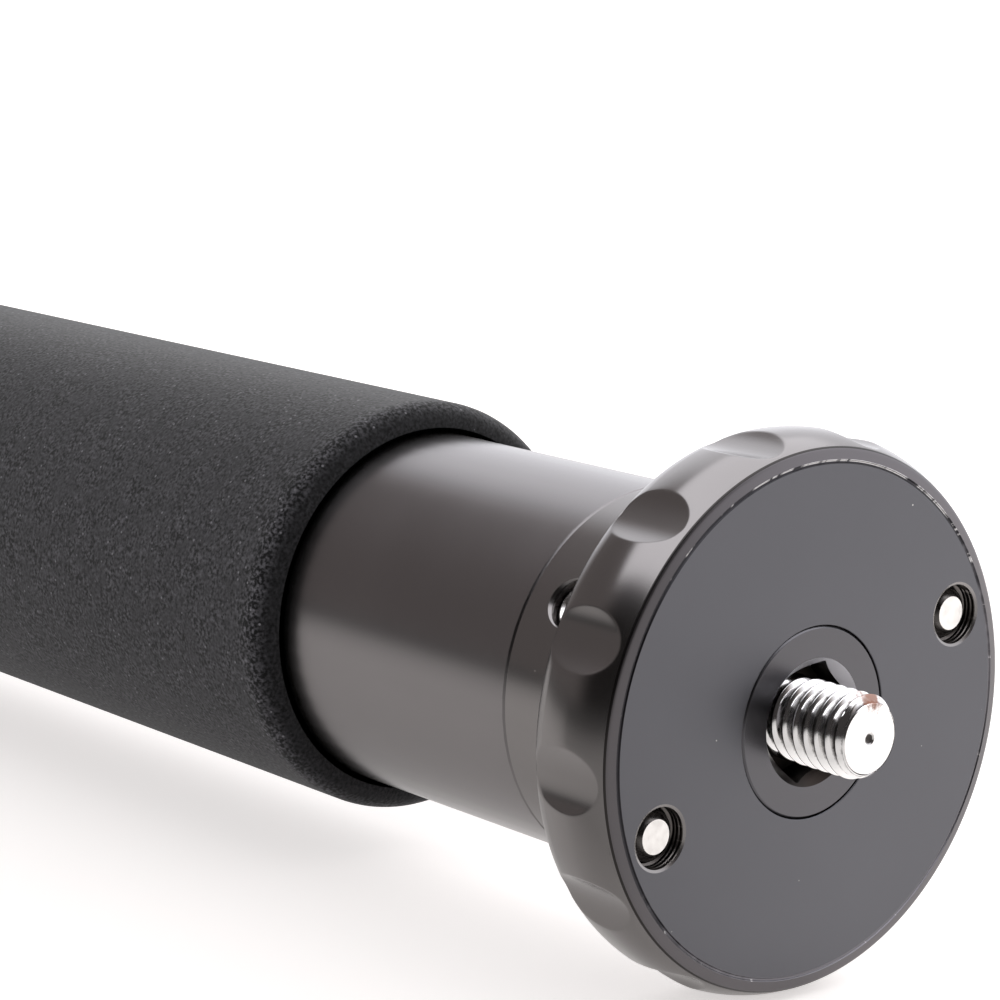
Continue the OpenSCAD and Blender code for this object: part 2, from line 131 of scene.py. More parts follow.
def piece_of(name, points, quads, merge, least, closed=True):
    """Smooth object of quads over points in millimetres. Points nearer than merge become one, and edges
    shorter than least go. The faces of a closed one end up pointing out."""
    mesh = bpy.data.meshes.new(name)
    mesh.from_pydata((points.reshape(-1, 3) * MM).tolist(), [], quads.tolist())
    work = bmesh.new()
    work.from_mesh(mesh)
    bmesh.ops.remove_doubles(work, verts=work.verts, dist=merge * MM)
    bmesh.ops.dissolve_degenerate(work, edges=work.edges, dist=least * MM)
    if closed and work.calc_volume(signed=True) < 0:
        bmesh.ops.reverse_faces(work, faces=work.faces)
    work.to_mesh(mesh)
    work.free()
    mesh.shade_smooth()
    piece = bpy.data.objects.new(name, mesh)
    scene.collection.objects.link(piece)
    return piece


def skin(name, points, wrap=(True, True)):
    """Solid whose surface is quads over an (n, m, 3) array of points in millimetres, wrapped round in
    each direction that is closed. Points that fall together, as at a pole, become one."""
    n, m = points.shape[:2]
    i, j = np.arange(n if wrap[0] else n - 1), np.arange(m if wrap[1] else m - 1)
    a, b = np.meshgrid(i, j, indexing="ij")
    a1, b1 = (a + 1) % n, (b + 1) % m
    quads = np.stack([a * m + b, a1 * m + b, a1 * m + b1, a * m + b1], -1).reshape(-1, 4)
    return piece_of(name, points, quads, 0.002, 0.0005)


def about_pole(x, r, phi):
    """Points at distance x along the pole and r from its axis, at angle phi from +Y towards +Z."""
    return np.stack(np.broadcast_arrays(x, r * np.cos(phi), r * np.sin(phi)), -1)


def turned(name, outline, lines=192, wrap=True):
    """Solid of revolution about the pole: the outline's (x, r) points carried round in equal steps."""
    phi = np.linspace(0, 2 * np.pi, lines, endpoint=False)
    return skin(name, about_pole(outline[:, :1], outline[:, 1:], phi[None, :]), (wrap, True))


def sharpen(piece, angle):
    """Marks edges that bend more than the angle in degrees as sharp, and leaves the rest smooth."""
    piece.data.set_sharp_from_angle(angle=math.radians(angle))


def smooth_min(a, b, blend):
    """The smaller of a and b, rounded over where they differ by less than the blend."""
    h = np.clip(0.5 + 0.5 * (b - a) / blend, 0, 1)
    return b * (1 - h) + a * h - blend * h * (1 - h)


def rim_arc(x, drop, height):
    """Radius of a crowned rim at x: a circle's arc that falls by the drop over the height."""
    arc_r = (height**2 + drop**2) / (2 * drop)
    return plate_r - arc_r + np.sqrt(arc_r**2 - (x + crown_depth) ** 2)


def flute_lines(r):
    """Angles round the plate for outline points at radii r. Each flute has lines at equal shares of its
    half width, five across its edge, where a circle of radius r crosses the cutter, and eight on the land."""
    offset = plate_r - flute_depth + flute_r

    def crossing(radius):
        cosine = (offset**2 + radius**2 - flute_r**2) / (2 * offset * radius)
        return np.arccos(np.clip(cosine, -1, 1))

    edge = np.stack([crossing(r + d) for d in np.linspace(-flute_edge, flute_edge, 5)], -1)
    inside = edge[:, :1] * np.linspace(0, 1, 10)[:-1]
    least = np.arange(14) * math.radians(0.1)
    near = np.maximum(np.concatenate([inside, edge], 1), least)
    land = near[:, -1:] + (flute_pitch / 2 - near[:, -1:]) * np.linspace(0, 1, 9)[1:]
    side = np.concatenate([near, land], 1)
    sector = np.concatenate([-side[:, :0:-1], side[:, :-1]], 1)
    starts = lowest + np.arange(flute_count) * flute_pitch
    return (starts[None, :, None] + sector[:, None, :]).reshape(len(r), -1)


def flute_floor(phi):
    """Distance from the pole's axis to the cutter's near side at angle phi, and far out between flutes."""
    offset = plate_r - flute_depth + flute_r
    a = (phi - lowest + flute_pitch / 2) % flute_pitch - flute_pitch / 2
    inside = np.clip(flute_r**2 - (offset * np.sin(a)) ** 2, 0, None)
    return np.where(inside > 0, offset * np.cos(a) - np.sqrt(inside), offset)


front_x = -np.concatenate([np.linspace(0.72, 0.86, 3), np.linspace(0.88, 1.4, 20),
                           np.linspace(1.46, 2.2, 10), np.linspace(2.4, crown_depth, 15)])
bevel_top = plate_t - back_chamfer - back_bevel_w
back_x = -np.linspace(crown_depth + 0.25, bevel_top - 0.1, 12)
front_rim = [(x, rim_arc(x, front_drop, crown_depth - face_bevel), 0) for x in front_x]
back_rim = [(x, rim_arc(x, back_drop, bevel_top - crown_depth), 0) for x in back_x]
bevel_arc_r = back_bevel_w / (np.sin(bevel_tilt[-1]) - np.sin(bevel_tilt[0]))
bevel_run = bevel_arc_r * (np.sin(bevel_tilt) - np.sin(bevel_tilt[0]))
bevel_fall = bevel_arc_r * (np.cos(bevel_tilt[0]) - np.cos(bevel_tilt))
back_bevel = [(-bevel_top - x, plate_r - back_drop - fall, 0)
              for x, fall in zip(bevel_run[1:-1], bevel_fall[1:-1])]
back_r = plate_r - back_drop - bevel_fall[-1]
face_rings = [(0, r, 0) for r in (14, 17, 20, 23, 26)]
plate_outline = rounded(
    [(0, insert_bore_r, 0.12), *face_rings, (0, ring_r - ring_w / 2, 0.05),
     (-ring_depth, ring_r - ring_w / 4, 0.05), (-ring_depth, ring_r + ring_w / 4, 0.05),
     (0, ring_r + ring_w / 2, 0.05), (-face_bevel, plate_r - front_drop, 0.7), *front_rim, *back_rim,
     (-bevel_top, plate_r - back_drop, 0.08), *back_bevel, (-plate_t + back_chamfer, back_r, 0.08),
     (-plate_t, back_r - back_chamfer, 0.08),
     (-plate_t, 27, 0), (-plate_t, collar_r, 1.0), (-13.5, collar_r, 0), (-20, collar_r, 0),
     (-collar_len + 0.25, collar_r, 0.08), (-collar_len, collar_r - 0.25, 0.08),
     (-collar_len, spigot_r, 0), (-spigot_end, spigot_r, 0.3), (-spigot_end, spigot_bore_r, 0.3),
     (-insert_bore_end, spigot_bore_r, 0), (-insert_bore_end, insert_bore_r, 0.1)])
plate_phi = flute_lines(plate_outline[:, 1])
plate_radius = smooth_min(plate_outline[:, 1:], flute_floor(plate_phi), flute_edge)
plate = skin("fluted_head_plate", about_pole(plate_outline[:, :1], plate_radius, plate_phi))
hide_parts("head_plate")


def turned_cutter(outline, place, lines=96):
    """Closed solid of revolution about its own +X axis, moved to its place, for cutting a hole."""
    cutter = turned("cutter", np.array(outline, float), lines, wrap=False)
    cutter.data.transform(place)
    return cutter


def cut(piece, cutter, slot):
    """Takes the cutter away from the piece, and gives the walls that it leaves that material slot."""
    cutter.data.polygons.foreach_set("material_index", np.full(len(cutter.data.polygons), slot, np.int32))
    step = piece.modifiers.new("cut", "BOOLEAN")
    step.object, step.operation, step.solver, step.material_mode = cutter, "DIFFERENCE", "EXACT", "INDEX"
    with bpy.context.temp_override(object=piece, active_object=piece):
        bpy.ops.object.modifier_apply(modifier=step.name)
    bpy.data.objects.remove(cutter)


def mark(piece, slot, chosen):
    """Gives a material slot to the faces whose centres, as x and r in millimetres, are chosen."""
    faces = piece.data.polygons
    centre = np.zeros(len(faces) * 3)
    slots = np.zeros(len(faces), np.int32)
    faces.foreach_get("center", centre)
    faces.foreach_get("material_index", slots)
    centre = centre.reshape(-1, 3) / MM
    picked = chosen(centre[:, 0], np.hypot(centre[:, 1], centre[:, 2]))
    faces.foreach_set("material_index", np.where(picked, slot, slots).astype(np.int32))


def linear(colour):
    """A colour written as sRGB hex, as the linear red, green, blue and alpha of a socket."""
    parts = [int(colour[i:i + 2], 16) / 255 for i in (1, 3, 5)]
    return [p / 12.92 if p <= 0.04045 else ((p + 0.055) / 1.055) ** 2.4 for p in parts] + [1.0]


def add(tree, kind, inputs=None, **fields):
    """Adds a node: fields are its own settings, and inputs gives a value or a link to each socket."""
    node = tree.nodes.new("ShaderNode" + kind)
    for name, value in fields.items():
        setattr(node, name, value)
    for socket, value in (inputs or {}).items():
        if isinstance(value, bpy.types.NodeSocket):
            tree.links.new(value, node.inputs[socket])
        else:
            node.inputs[socket].default_value = value
    return node


def material(name):
    """A new material, emptied but for a node of the object's own coordinates in metres."""
    made = bpy.data.materials.new(name)
    made.use_nodes = True
    tree = made.node_tree
    tree.nodes.clear()
    return made, tree, add(tree, "TexCoord").outputs["Object"]


def surface(tree, **inputs):
    """Ends a material: the main shader with its sockets set by name, and the output."""
    named = {key.replace("_", " "): value for key, value in inputs.items()}
    shader = add(tree, "BsdfPrincipled", named)
    add(tree, "OutputMaterial", {"Surface": shader.outputs["BSDF"]})
    return shader


def ramp(tree, value, start, end, low=0.0, high=1.0, eased=False):
    """The value carried from start..end to low..high and held beyond them, with eased ends if asked."""
    node = add(tree, "MapRange", {"Value": value, "From Min": start, "From Max": end, "To Min": low,
                                  "To Max": high}, interpolation_type="SMOOTHSTEP" if eased else "LINEAR")
    return node.outputs["Result"]


def maths(tree, operation, *values, clamp=False):
    """One sum: the operation on up to three values or links, held between zero and one if asked."""
    return add(tree, "Math", dict(enumerate(values)), operation=operation, use_clamp=clamp).outputs["Value"]


def dot(tree, place, direction):
    """How far a place lies in a direction: their dot product."""
    return add(tree, "VectorMath", {0: place, 1: direction}, operation="DOT_PRODUCT").outputs["Value"]


def from_pole(tree, place):
    """Distance from the pole's axis to a place: the length of its part across the pole."""
    axes = add(tree, "SeparateXYZ", {"Vector": place})
    flat = add(tree, "CombineXYZ", {"Y": axes.outputs["Y"], "Z": axes.outputs["Z"]})
    return add(tree, "VectorMath", {0: flat.outputs["Vector"]}, operation="LENGTH").outputs["Value"]


def mixed(tree, share, a, b):
    """A number between a and b, by a share."""
    return add(tree, "Mix", {"Factor": share, 2: a, 3: b}).outputs[0]


def tinted(tree, share, a, b):
    """A colour between a and b, by a share."""
    return add(tree, "Mix", {"Factor": share, 6: a, 7: b}, data_type="RGBA").outputs[2]


def scaled(tree, colour, level):
    """A colour written as sRGB hex, made darker or lighter by a linked level."""
    return add(tree, "VectorMath", {0: linear(colour)[:3], 3: level}, operation="SCALE").outputs["Vector"]


def shade(colour, level):
    """A colour written as sRGB hex, made darker or lighter by a fixed level."""
    return [part * level for part in linear(colour)[:3]] + [1.0]


def noise(tree, place, size, detail, roughness=0.5):
    """Cloudy noise over a place in metres, with clouds of that size in millimetres."""
    return add(tree, "TexNoise", {"Vector": place, "Scale": 1 / (size * MM), "Detail": detail,
                                  "Roughness": roughness}).outputs["Fac"]


def bumps(tree, height, depth, strength=1.0):
    """The surface's direction, as a height of that many millimetres bends it."""
    return add(tree, "Bump", {"Height": height, "Strength": strength,
                              "Distance": depth * MM}).outputs["Normal"]


def speckle(tree, place, spacing, size, share):
    """Mask of round specks: one to a cell of the spacing, of the given size, in a share of the cells."""
    cells = add(tree, "TexVoronoi", {"Vector": place, "Scale": 1 / (spacing * MM), "Randomness": 1.0})
    near = ramp(tree, cells.outputs["Distance"], size / spacing, 0.5 * size / spacing)
    tint = add(tree, "SeparateColor", {"Color": cells.outputs["Color"]})
    return maths(tree, "MULTIPLY", near, maths(tree, "LESS_THAN", tint.outputs["Red"], share))


def anodised(name, colour, roughness, grain, depth, dust=0.0):
    """Anodised aluminium: a dyed oxide over a blasted or satin ground. The eye sees an even metal that
    blurs what it mirrors, with a grain of that many millimetres, faint clouds, and specks of dust."""
    made, tree, place = material(name)
    cloud_size, cloud_tint, cloud_gloss = 14, 0.06, 0.025
    clouds = noise(tree, place, cloud_size, 3.0)
    base = tinted(tree, clouds, shade(colour, 1 - cloud_tint), shade(colour, 1 + cloud_tint))
    if dust:
        base = tinted(tree, speckle(tree, place, 3.1, 0.11, dust), base, linear("#E4E2DE"))
    surface(tree, Base_Color=base, Metallic=1.0,
            Roughness=ramp(tree, clouds, 0, 1, roughness - cloud_gloss, roughness + cloud_gloss),
            Normal=bumps(tree, noise(tree, place, grain, 2.0), depth))
    return made


def groove_painted_shade_and_glints(name, dark, lit_wall_colour, bright):
    """The turned ring in the face: its groove painted dark as shade, painted lighter towards one side as the
    reflection of its wall, and on the outer wall bright dashes of bare metal where a head has turned on it,
    gathered at the top as a painted highlight where that wall faces the light."""
    made, tree, place = material(name)
    dash_size, patch_size, patch_reach = 3, 2.2, 40 * MM
    axes = add(tree, "SeparateXYZ", {"Vector": place})
    angle = maths(tree, "ARCTAN2", axes.outputs["Z"], axes.outputs["Y"])
    along = add(tree, "CombineXYZ", {"X": maths(tree, "MULTIPLY", angle, ring_r * MM)}).outputs["Vector"]
    top = maths(tree, "MULTIPLY", dot(tree, place, (0, 0.17, 0.985)), 1 / (ring_r * MM))
    top = maths(tree, "POWER", maths(tree, "MAXIMUM", top, 0.0), 2.5)
    # More dashes towards the top: bare metal where worn, and a painted highlight where the outer wall faces
    # the light.
    least = ramp(tree, top, 0, 1, 0.6, 0.42)
    dashes = maths(tree, "SUBTRACT", noise(tree, along, dash_size, 4.0, 0.7), least)
    outer = ramp(tree, from_pole(tree, place), (ring_r - 0.02) * MM, (ring_r + 0.05) * MM)
    wear_and_painted_glint = maths(tree, "MULTIPLY", ramp(tree, dashes, 0, 0.06), outer)
    # Painted light and shade: the groove goes from its dark colour to its lighter one towards +Y and down,
    # along a noisy edge.
    side = maths(tree, "MULTIPLY_ADD", noise(tree, along, patch_size, 2.0), patch_reach,
                 dot(tree, place, (0, 0.6, -0.8)))
    ground = tinted(tree, ramp(tree, side, 20 * MM, 36 * MM), linear(dark), linear(lit_wall_colour))
    surface(tree, Base_Color=tinted(tree, wear_and_painted_glint, ground, linear(bright)), Metallic=1.0, Roughness=0.35)
    return made


def tapped(name, colour, roughness, turns):
    """Wall of a drilled and tapped hole: dark oiled metal with the ridges of its thread, turns mm apart."""
    made, tree, place = material(name)
    ridges = add(tree, "TexWave", {"Vector": place, "Scale": math.pi / 10 / (turns * MM)},
                 bands_direction="X")
    surface(tree, Base_Color=linear(colour), Metallic=1.0, Roughness=roughness,
            Normal=bumps(tree, ridges.outputs["Fac"], 0.12))
    return made


# The face, the rim and collar, the tapped holes, the turned ring, the countersinks, the face's edge and the
# band between the ring and that edge each have a finish of their own. The ring carries painted shade and
# glints, and the face's rounded edge is painted dark as shade.
rim_slot, hole_slot, ring_slot, sink_slot, edge_slot, band_slot = range(1, 7)
satin_grey = anodised("satin_turned_anodised_grey", "#7D7A79", 0.21, 0.18, 0.002, dust=0.06)
for finish in (anodised("bead_blasted_anodised_grey", "#656569", 0.4, 0.12, 0.0035, dust=0.05),
               satin_grey,
               tapped("tapped_oiled_aluminium", "#6E6A67", 0.32, 0.6),
               # Painted shade in the groove, a painted lighter side, and bright wear dashes that are also
               # painted glints.
               groove_painted_shade_and_glints("turned_ring_painted_shade_and_glints", "#3C3B3E", "#78767A", "#CFCDCD"),
               anodised("bare_countersunk_aluminium", "#8A8786", 0.24, 0.3, 0.001),
               # Painted shade: the face's rounded edge is made dark.
               anodised("face_edge_painted_shade", "#3B3938", 0.3, 0.2, 0.001),
               anodised("turned_band_anodised_grey", "#6A6769", 0.34, 0.15, 0.002)):
    plate.data.materials.append(finish)
mark(plate, rim_slot, lambda x, r: x < -face_bevel - 0.02)
mark(plate, band_slot, lambda x, r: (r > ring_r + ring_w / 2) & (x > -face_bevel - 0.05))
mark(plate, edge_slot, lambda x, r: (r > plate_r - front_drop - 0.55) & (abs(x + face_bevel + 0.15) < 0.1))
mark(plate, ring_slot, lambda x, r: (abs(r - ring_r) < ring_w / 2 + 0.04) & (x > -ring_depth - 0.1))
lock_bore_r, lock_mouth_r, lock_mouth_end, lock_sink_r, lock_sink = 3.0, 3.42, -1.78, 3.72, 0.15
past_back, past_face = -plate_t - 1.5, 0.6
lock_cutter = [(past_back, 0), (past_back, lock_bore_r), (lock_mouth_end - 0.42, lock_bore_r),
               (lock_mouth_end, lock_mouth_r), (past_face, lock_mouth_r), (past_face, 0)]
lock_sinker = [(-lock_sink - 0.04, 0), (-lock_sink - 0.04, lock_mouth_r - 0.09), (0, lock_sink_r),
               (past_face / 2, lock_sink_r + 0.6), (past_face / 2, 0)]
set_bore_r, set_sink_r, set_inside, set_outside = 3, 4, 10, 40
set_cutter = [(set_inside, 0), (set_inside, set_bore_r), (collar_r - 0.35, set_bore_r),
              (collar_r + 0.65, set_sink_r), (set_outside, set_sink_r), (set_outside, 0)]


def lock_spot(half_turn):
    """The move from the pole's axis to a head lock screw's: the first at 0 and the second at 180 degrees."""
    turn = math.radians(lock_angle + half_turn)
    return Matrix.Translation(Vector((0, math.cos(turn), math.sin(turn))) * lock_offset * MM)


def set_spot(i):
    """The move from the pole's axis to the axis, pointing out, of the insert's set screw number i."""
    turn = Matrix.Rotation(math.radians(set_angle + 360 * i / set_count), 4, "X")
    return Matrix.Translation((-set_depth * MM, 0, 0)) @ turn @ Matrix.Rotation(math.pi / 2, 4, "Z")


for half_turn in (0, 180):
    cut(plate, turned_cutter(lock_cutter, lock_spot(half_turn)), hole_slot)
    cut(plate, turned_cutter(lock_sinker, lock_spot(half_turn)), sink_slot)
for i in range(set_count):
    cut(plate, turned_cutter(set_cutter, set_spot(i), 72), rim_slot)
sharpen(plate, 14)
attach(plate, "pole")


# Stud insert
# A round insert, turned and anodised like the plate, pressed into it and held by the set screws. Its
# hexagonal socket keeps the stud from turning, and a round lead-in is cut at the socket's mouth.
insert_r, insert_len, insert_edge = 10.8, 24.0, 0.3
socket_af, socket_mouth_r, socket_end, hex_angle = 12.0, 7.2, 8.0, 16.7
shank_r, nut_pocket_r, nut_top = 3.03, 7.0, 17.0
groove_r, groove_reach, face_ring_r = insert_r - 0.4, 3, 9.6
hex_phi = np.linspace(0, 2 * np.pi, 360, endpoint=False)
to_flat = (hex_phi - math.radians(hex_angle)) % (np.pi / 3) - np.pi / 6
corner_r = socket_af / 2 / math.cos(math.pi / 6)
hex_wall = np.minimum(socket_af / 2 / np.cos(to_flat), corner_r - 0.06)
mouth = np.linspace(0, 1, 5)[:, None]
cone_end = hex_wall - socket_mouth_r
lead_in = about_pole(mouth * cone_end, socket_mouth_r + mouth * cone_end, hex_phi)
down = np.array([0.03, 0.06, 0.3, 0.6, 1.0])[:, None]
flats = about_pole(cone_end - down * (socket_end + cone_end), hex_wall + 0 * down, hex_phi)
inner = rounded([(-socket_end, socket_af / 2 - 0.1, 0), (-socket_end, shank_r, 0.1), (-nut_top, shank_r, 0),
                 (-nut_top, nut_pocket_r, 0), (-insert_len, nut_pocket_r, 0.2), (-insert_len, insert_r, 0.2),
                 (-set_depth - groove_reach, insert_r, 0), (-set_depth - groove_reach, groove_r, 0),
                 (-set_depth + groove_reach, groove_r, 0), (-set_depth + groove_reach, insert_r, 0),
                 (-insert_edge, insert_r, 0.05), (0, insert_r - insert_edge, 0.05),
                 (0, face_ring_r, 0), (0, socket_mouth_r + 0.06, 0)], closed=False)
insert = skin("hex_socket_insert", np.concatenate(
    [lead_in, flats, about_pole(inner[:, :1], inner[:, 1:], hex_phi[None, :])]))


def painted_lead_in(name, clean, lead_in_shade):
    """The socket's lead-in: satin anodised metal, painted light on its upper part and painted dark as shade
    in its lower half.
    """
    made, tree, place = material(name)
    height = add(tree, "SeparateXYZ", {"Vector": place}).outputs["Z"]
    level = maths(tree, "MULTIPLY_ADD", noise(tree, place, 2, 3.0), 2 * MM, height)
    # Painted shade in the lower half, fading by noise into the painted light of the upper part.
    low = ramp(tree, level, 1.5 * MM, -2 * MM, eased=True)
    surface(tree, Base_Color=tinted(tree, low, linear(clean), linear(lead_in_shade)), Metallic=1.0,
            Roughness=ramp(tree, low, 0, 1, 0.5, 0.3))
    return made


# The face, the side, the flats and all below them, and the lead-in. The flats begin just under the cone. The
# flats and all below them are painted near black as the socket's shade.
side_slot, recess_slot, lead_in_slot = range(1, 4)
# Painted shade: near black for the inside of the socket, where little light reaches.
painted_socket_shade = anodised("socket_painted_shade", "#1E1B19", 0.45, 0.5, 0.01)
for finish in (anodised("satin_faced_anodised_grey", "#605F62", 0.26, 0.2, 0.001), satin_grey, painted_socket_shade,
               # The lead-in: painted light above, painted shade in its lower half.
               painted_lead_in("lead_in_painted_light_and_shade", "#CBCACF", "#2C2724")):
    insert.data.materials.append(finish)
mark(insert, side_slot, lambda x, r: (r > socket_mouth_r) & (x < -insert_edge))
mark(insert, lead_in_slot, lambda x, r: r < socket_mouth_r)
mark(insert, recess_slot, lambda x, r: (r < corner_r) & (x < r - socket_mouth_r - 0.02))
sharpen(insert, 14)
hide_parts("stud_insert")
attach(insert, "pole")


# Camera stud and its nut
# A 3/8 inch stud of plated steel with 16 turns to the inch. Its rolled thread is bright, with a
# chamfer and a small centre mark at the tip, and a hexagonal flange sits in the insert's socket.
stud_r, stud_h, pitch = 4.7625, 8.4, 25.4 / 16
thread_depth, thread_bottom = 0.6 * pitch, -4.0
tip_chamfer, dimple_r, dimple_depth = 0.8, 0.7, 0.45
neck_r, bolt_r, bolt_end, flange_end, flange_af = 4.2, 3, -23, -8, 11.8


def thread_radius(x, phi, r, pitch, depth):
    """Radius of a right-handed thread: 60 degree flanks between a flat crest and a rounded root."""
    phase = (x / pitch - phi / (2 * np.pi)) % 1
    rise = np.clip((0.5 - abs(phase - 0.5)) / 0.39 - 0.12, 0, 1)
    return r - depth * (0.75 * rise + 0.25 * rise**2 * (3 - 2 * rise))


def threaded(name, r, pitch, depth, bottom, top, limit, lines, rows):
    """Threaded bar from bottom to top along the pole. The rows of points climb with the thread, so that
    its crests are clean, and limit(x) gives the radius that a chamfer leaves. Both ends stay open."""
    phi = np.linspace(0, 2 * np.pi, lines, endpoint=False)
    turns = int(math.ceil((top - bottom) / pitch)) + 1
    start = np.arange(-rows, turns * rows + 1)[:, None] / rows
    x = np.clip(bottom + pitch * (start + phi[None, :] / (2 * np.pi)), bottom, top)
    radius = np.minimum(thread_radius(x - bottom, phi[None, :], r, pitch, depth), limit(x))
    n = len(start)
    grid = np.arange(n * lines).reshape(n, lines)
    quads = np.stack([grid[:-1, :-1], grid[1:, :-1], grid[1:, 1:], grid[:-1, 1:]], -1).reshape(-1, 4)
    last = n - 1 - rows
    seam = np.stack([grid[:last, -1], grid[1:last + 1, -1],
                     grid[rows + 1:rows + last + 1, 0], grid[rows:rows + last, 0]], -1)
    return piece_of(name, about_pole(x, radius, phi[None, :]), np.concatenate([quads, seam]), 0.004, 0.004,
                    closed=False)


stud = threaded("threaded_camera_stud", stud_r, pitch, thread_depth, thread_bottom, stud_h - 0.02,
                lambda x: np.minimum(stud_r, stud_r + stud_h - tip_chamfer - x), 144, 28)


def join(piece, others):
    """Puts the other meshes into the piece as separate shells of the same object."""
    work = bmesh.new()
    work.from_mesh(piece.data)
    for other in others:
        work.from_mesh(other.data)
    bmesh.ops.recalc_face_normals(work, faces=work.faces)
    work.to_mesh(piece.data)
    work.free()
    for other in others:
        bpy.data.objects.remove(other)
    piece.data.shade_smooth()


def hex_bar(name, bottom, top, flats, turn, lines=180):
    """Hexagonal bar along the pole with its corners turned off, closed at both ends."""
    phi = np.linspace(0, 2 * np.pi, lines, endpoint=False)
    off = (phi - math.radians(turn)) % (np.pi / 3) - np.pi / 6
    wall = np.minimum(flats / 2 / np.cos(off), flats / 2 * 1.13)
    x = np.array([bottom, bottom, top, top])[:, None]
    scale = np.array([0, 1, 1, 0])[:, None]
    return skin(name, about_pole(x, wall[None, :] * scale, phi[None, :]), (False, True))


tip_r = stud_r - tip_chamfer - 0.02
tip = turned("tip", rounded([(stud_h - 0.1, tip_r, 0), (stud_h, tip_r - 0.1, 0), (stud_h, tip_r * 0.7, 0),
                             (stud_h, dimple_r, 0.08), (stud_h - dimple_depth, 0, 0)], closed=False),
             wrap=False)
shank = turned("shank", rounded([(thread_bottom, 0, 0), (thread_bottom, neck_r, 0),
                                 (thread_bottom - 0.1, neck_r, 0), (flange_end, bolt_r, 0),
                                 (bolt_end, bolt_r, 0.4), (bolt_end, 0, 0)], closed=False), wrap=False)
join(stud, [tip, shank, hex_bar("flange", flange_end, thread_bottom, flange_af, hex_angle)])


def plated(name, colour, roughness, haze):
    """Plated steel: chrome or nickel over a turned or rolled ground. A bright mirror, slightly hazed in
    patches by handling, with marks of a few tenths of a millimetre."""
    made, tree, place = material(name)
    marks = noise(tree, place, 0.9, 4.0)
    surface(tree, Base_Color=linear(colour), Metallic=1.0,
            Roughness=ramp(tree, marks, 0.35, 0.75, roughness, roughness + haze),
            Normal=bumps(tree, marks, 0.006, 0.6))
    return made


def used_chrome(name, colour, root_shade_colour, copper):
    """Chrome on a rolled thread in use: bright on the crests, painted dark and dull as shade in the roots and
    in the centre mark, and worn through to the copper under it at one spot of the tip's edge."""
    made, tree, place = material(name)
    root_start, root_full = 4.27 * MM, 3.9 * MM
    copper_edge, copper_full = 3.6 * MM, 2.3 * MM
    worn_at = about_pole(stud_h - 0.7, stud_r - 0.15, math.radians(84)) * MM
    marks = noise(tree, place, 0.7, 4.0, 0.65)
    uneven = maths(tree, "MULTIPLY_ADD", marks, 0.5 * MM, -0.25 * MM)
    level = maths(tree, "ADD", from_pole(tree, place), uneven)
    along = add(tree, "SeparateXYZ", {"Vector": place}).outputs["X"]
    below_tip = maths(tree, "LESS_THAN", along, (stud_h - 0.12) * MM)
    # Painted shade: darker and duller deep in the thread's roots and in the centre mark.
    root = maths(tree, "MULTIPLY", ramp(tree, level, root_start, root_full, eased=True), below_tip)
    centre = ramp(tree, level, (dimple_r + 0.1) * MM, (dimple_r - 0.45) * MM)
    painted_root_shade = maths(tree, "MAXIMUM", root, centre)
    away = add(tree, "VectorMath", {0: place, 1: worn_at.tolist()}, operation="DISTANCE").outputs["Value"]
    away = maths(tree, "MULTIPLY_ADD", marks, 3 * MM, away)
    bare = ramp(tree, away, copper_edge, copper_full, 0.0, 0.9, eased=True)
    base = tinted(tree, bare, tinted(tree, painted_root_shade, linear(colour), linear(root_shade_colour)), linear(copper))
    surface(tree, Base_Color=base, Metallic=1.0,
            Roughness=ramp(tree, maths(tree, "MAXIMUM", painted_root_shade, bare), 0, 1, 0.1, 0.4),
            Normal=bumps(tree, marks, 0.008, 0.6))
    return made


# Its second colour is the painted shade of the roots and centre mark.
stud.data.materials.append(used_chrome("bright_chrome_plate", "#F4F3F2", "#4C4947", "#8C6250"))
# Below its thread, down in the socket, the stud takes the same painted shade.
stud.data.materials.append(painted_socket_shade)
mark(stud, 1, lambda x, r: (x < thread_bottom + 0.02) | (r > stud_r + 0.05))
sharpen(stud, 35)
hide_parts("camera_stud")
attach(stud, "pole")


def dress(nodes, finish):
    """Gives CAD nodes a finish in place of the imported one."""
    for name in nodes:
        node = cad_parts[name]
        for slot in node.material_slots:
            slot.material = finish


zinc_steel = plated("zinc_plated_steel", "#E2DFDB", 0.32, 0.15)
dress(["stud_nut"], zinc_steel)


# Head lock screws
# Two M6 grub screws of zinc plated steel come up through the plate and press their flat points on the head.
# The points are scuffed bright, and the threads round them are painted dark as shade in their holes.
lock_set, lock_len, lock_r, lock_pitch, point_r = 0.7, 10.0, 2.92, 1.0, 1.95
key_r, key_depth = 1.73, 4.0
lock_end = -lock_set - lock_len
